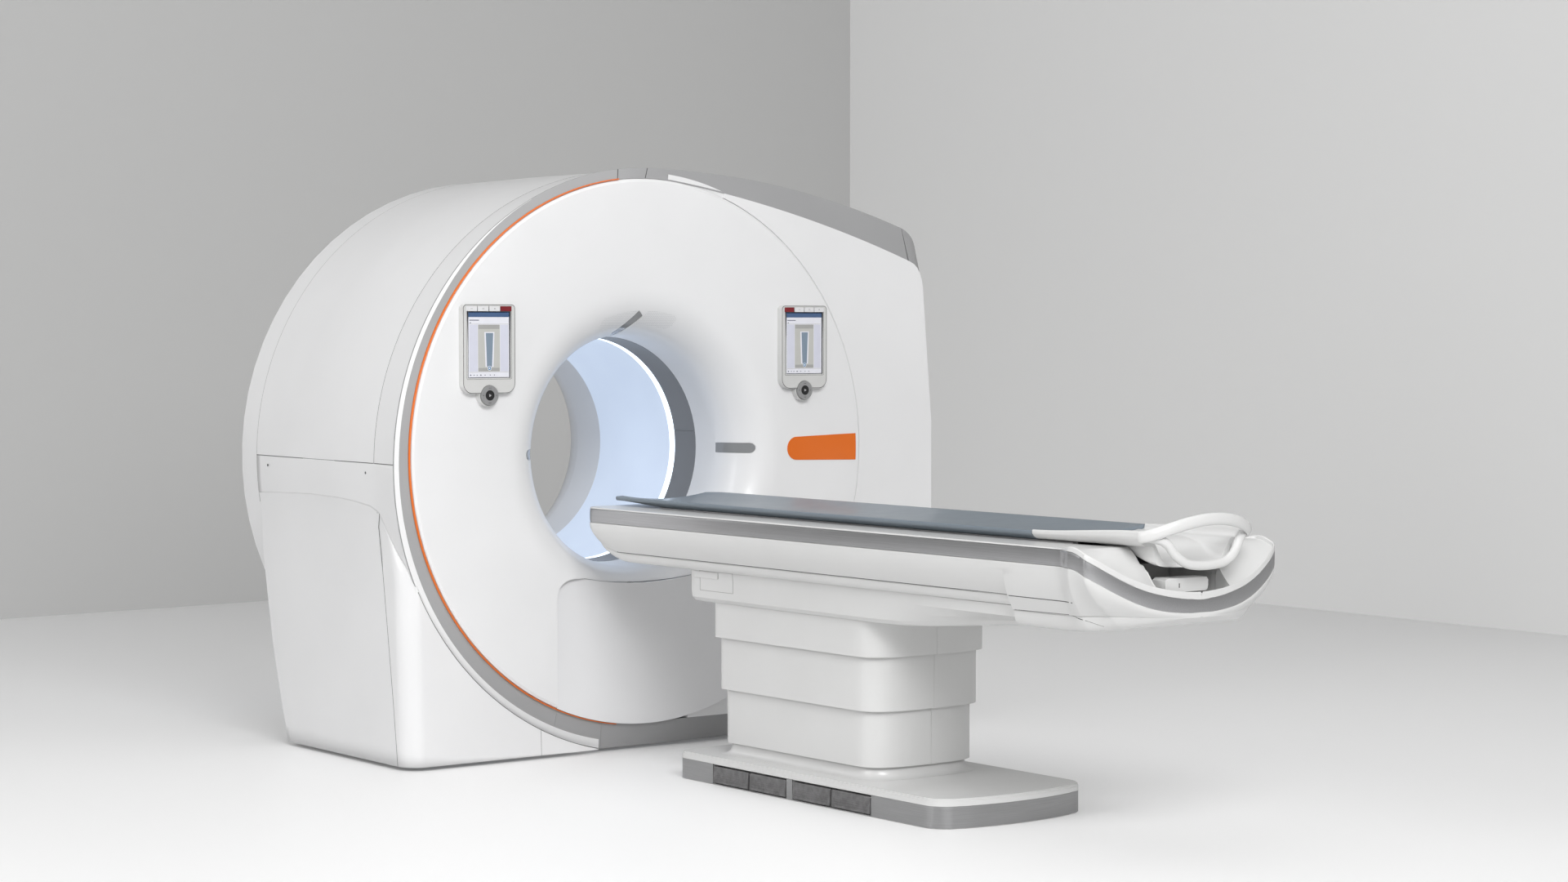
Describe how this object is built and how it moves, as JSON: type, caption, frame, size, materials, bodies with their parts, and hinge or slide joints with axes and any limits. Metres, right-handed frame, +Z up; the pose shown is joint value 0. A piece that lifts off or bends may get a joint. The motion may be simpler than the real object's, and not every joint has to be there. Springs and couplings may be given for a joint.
{
  "type": "ct scanner",
  "caption": "Floor-standing CT scanner: round white gantry with a wide bore, orange accent ring and control panels, and a separate patient table on a telescoping column.",
  "frame": {"origin": "on the floor, straight below the isocentre of the bore", "axes": "+X to the right of someone facing the bore from the table, +Y along the bore from front to back, +Z up"},
  "size_m": [2.2439, 3.8448, 1.988],
  "materials": {
    "white_cover": "satin moulded covers, faint sheen",
    "silver_band": "smooth silver-grey paint",
    "accent": "plain orange",
    "brushed": "brushed along its length",
    "liner": "translucent, lit from behind",
    "light": "bright light guide",
    "bore_grey": "grey moulded ring",
    "dark_window": "smoked window",
    "frame_paint": "grey enamel",
    "machined": "turned steel",
    "feet_rubber": "black pads",
    "slip_brass": "turned rings",
    "top_blue": "blue-grey satin board",
    "pedal_dark": "dark grey textured rubber",
    "panel_grey": "pale grey bezel",
    "screen_glass": "lit screen behind glass",
    "key_white": "white keys",
    "key_red": "dark red keys",
    "stick_grey": "satin ring",
    "button_black": "glossy black"
  },
  "bodies": {
    "stand": {"gantry_frame": "frame_paint", "levelling_feet": "feet_rubber", "main_bearing": "machined", "front_cover": "white_cover", "lower_front_panel": "white_cover", "right_front_panel": "white_cover", "trim_band": "silver_band", "accent_ring": "accent", "ring_strip": "white_cover", "upper_left_cover": "white_cover", "lower_left_cover": "white_cover", "leg_front_cover": "white_cover", "right_cover": "white_cover", "rear_cover": "white_cover", "tunnel_liner": "liner", "bore_ring": "bore_grey", "light_ring": "light", "laser_windows": "dark_window", "speaker_grille": "white_cover", "side_tab": "accent", "table_base": "white_cover", "base_band": "brushed", "pedal_pins": "machined", "column_skirt": "white_cover", "lift_mast": "machined", "panel_housings": "panel_grey", "screens": "screen_glass"},
    "rotor": {"rotor_drum": "frame_paint", "slip_ring": "slip_brass", "xray_tubes": "frame_paint", "detectors": "frame_paint", "hv_generators": "frame_paint"},
    "lift": {"column_head": "white_cover", "housing_panels": "white_cover", "cradle": "white_cover", "rail_band": "brushed", "guide_rails": "brushed"},
    "table_top": {"tabletop": "top_blue", "carriage": "white_cover", "bow_handle": "white_cover"},
    "sleeve_low": {"lower_sleeve": "white_cover"},
    "sleeve_mid": {"middle_sleeve": "white_cover", "lift_stage": "machined"},
    "sleeve_up": {"upper_sleeve": "white_cover"},
    "pedal_1_body": {"pedal_1": "pedal_dark"},
    "pedal_2_body": {"pedal_2": "pedal_dark"},
    "pedal_3_body": {"pedal_3": "pedal_dark"},
    "pedal_4_body": {"pedal_4": "pedal_dark"},
    "left_key_1_body": {"left_key_1": "key_white"},
    "left_key_2_body": {"left_key_2": "key_white"},
    "left_key_3_body": {"left_key_3": "key_white"},
    "left_stop_key_body": {"left_stop_key": "key_red"},
    "right_stop_key_body": {"right_stop_key": "key_red"},
    "right_key_1_body": {"right_key_1": "key_white"},
    "right_key_2_body": {"right_key_2": "key_white"},
    "right_key_3_body": {"right_key_3": "key_white"},
    "left_stick_body": {"left_joystick": "stick_grey"},
    "left_button_body": {"left_button": "button_black"},
    "right_stick_body": {"right_joystick": "stick_grey"},
    "right_button_body": {"right_button": "button_black"}
  },
  "joints": [
    {"name": "rotor_spin", "type": "hinge", "parent": "stand", "child": "rotor", "pos_m": [0, 0.3, 1.02], "axis": [0, 1, 0], "continuous": true},
    {"name": "table_lift", "type": "slide", "parent": "stand", "child": "lift", "axis": [0, 0, 1], "range_m": [-0.35, 0]},
    {"name": "low_sleeve_slide", "type": "slide", "parent": "stand", "child": "sleeve_low", "axis": [0, 0, 1], "range_m": [-0.029, 0.001]},
    {"name": "mid_sleeve_slide", "type": "slide", "parent": "stand", "child": "sleeve_mid", "axis": [0, 0, 1], "range_m": [-0.176, 0.001]},
    {"name": "up_sleeve_slide", "type": "slide", "parent": "stand", "child": "sleeve_up", "axis": [0, 0, 1], "range_m": [-0.316, 0.001]},
    {"name": "tabletop_feed", "type": "slide", "parent": "lift", "child": "table_top", "axis": [0, 1, 0], "range_m": [0, 1.8]},
    {"name": "pedal_1_press", "type": "hinge", "parent": "stand", "child": "pedal_1_body", "pos_m": [-0.26, -1.281, 0.02], "axis": [0, 1, 0], "range_deg": [0, 6], "stiffness_Nm_per_rad": 4, "springref_deg": -6.88},
    {"name": "pedal_2_press", "type": "hinge", "parent": "stand", "child": "pedal_2_body", "pos_m": [-0.26, -1.473, 0.02], "axis": [0, 1, 0], "range_deg": [0, 6], "stiffness_Nm_per_rad": 4, "springref_deg": -6.88},
    {"name": "pedal_3_press", "type": "hinge", "parent": "stand", "child": "pedal_3_body", "pos_m": [-0.26, -1.693, 0.02], "axis": [0, 1, 0], "range_deg": [0, 6], "stiffness_Nm_per_rad": 4, "springref_deg": -6.88},
    {"name": "pedal_4_press", "type": "hinge", "parent": "stand", "child": "pedal_4_body", "pos_m": [-0.26, -1.885, 0.02], "axis": [0, 1, 0], "range_deg": [0, 6], "stiffness_Nm_per_rad": 4, "springref_deg": -6.88},
    {"name": "left_key_1_press", "type": "slide", "parent": "stand", "child": "left_key_1_body", "axis": [0, 1, 0], "range_m": [0, 0.0015], "stiffness_N_per_m": 400, "springref_m": -0.001},
    {"name": "left_key_2_press", "type": "slide", "parent": "stand", "child": "left_key_2_body", "axis": [0, 1, 0], "range_m": [0, 0.0015], "stiffness_N_per_m": 400, "springref_m": -0.001},
    {"name": "left_key_3_press", "type": "slide", "parent": "stand", "child": "left_key_3_body", "axis": [0, 1, 0], "range_m": [0, 0.0015], "stiffness_N_per_m": 400, "springref_m": -0.001},
    {"name": "left_stop_key_press", "type": "slide", "parent": "stand", "child": "left_stop_key_body", "axis": [0, 1, 0], "range_m": [0, 0.0015], "stiffness_N_per_m": 400, "springref_m": -0.001},
    {"name": "right_stop_key_press", "type": "slide", "parent": "stand", "child": "right_stop_key_body", "axis": [0, 1, 0], "range_m": [0, 0.0015], "stiffness_N_per_m": 400, "springref_m": -0.001},
    {"name": "right_key_1_press", "type": "slide", "parent": "stand", "child": "right_key_1_body", "axis": [0, 1, 0], "range_m": [0, 0.0015], "stiffness_N_per_m": 400, "springref_m": -0.001},
    {"name": "right_key_2_press", "type": "slide", "parent": "stand", "child": "right_key_2_body", "axis": [0, 1, 0], "range_m": [0, 0.0015], "stiffness_N_per_m": 400, "springref_m": -0.001},
    {"name": "right_key_3_press", "type": "slide", "parent": "stand", "child": "right_key_3_body", "axis": [0, 1, 0], "range_m": [0, 0.0015], "stiffness_N_per_m": 400, "springref_m": -0.001},
    {"name": "left_stick_tilt", "type": "hinge", "parent": "stand", "child": "left_stick_body", "pos_m": [-0.651, -0.4294, 1.222], "axis": [1, 0, 0], "range_deg": [-3, 3], "stiffness_Nm_per_rad": 1},
    {"name": "left_button_press", "type": "slide", "parent": "left_stick_body", "child": "left_button_body", "axis": [0, 1, 0], "range_m": [0, 0.0015], "stiffness_N_per_m": 400, "springref_m": -0.001},
    {"name": "right_stick_tilt", "type": "hinge", "parent": "stand", "child": "right_stick_body", "pos_m": [0.651, -0.4294, 1.222], "axis": [1, 0, 0], "range_deg": [-3, 3], "stiffness_Nm_per_rad": 1},
    {"name": "right_button_press", "type": "slide", "parent": "right_stick_body", "child": "right_button_body", "axis": [0, 1, 0], "range_m": [0, 0.0015], "stiffness_N_per_m": 400, "springref_m": -0.001}
  ],
  "couplings": [
    {"joint": "low_sleeve_slide", "follows": "table_lift", "ratio": 0.08},
    {"joint": "mid_sleeve_slide", "follows": "table_lift", "ratio": 0.5},
    {"joint": "up_sleeve_slide", "follows": "table_lift", "ratio": 0.9}
  ]
}
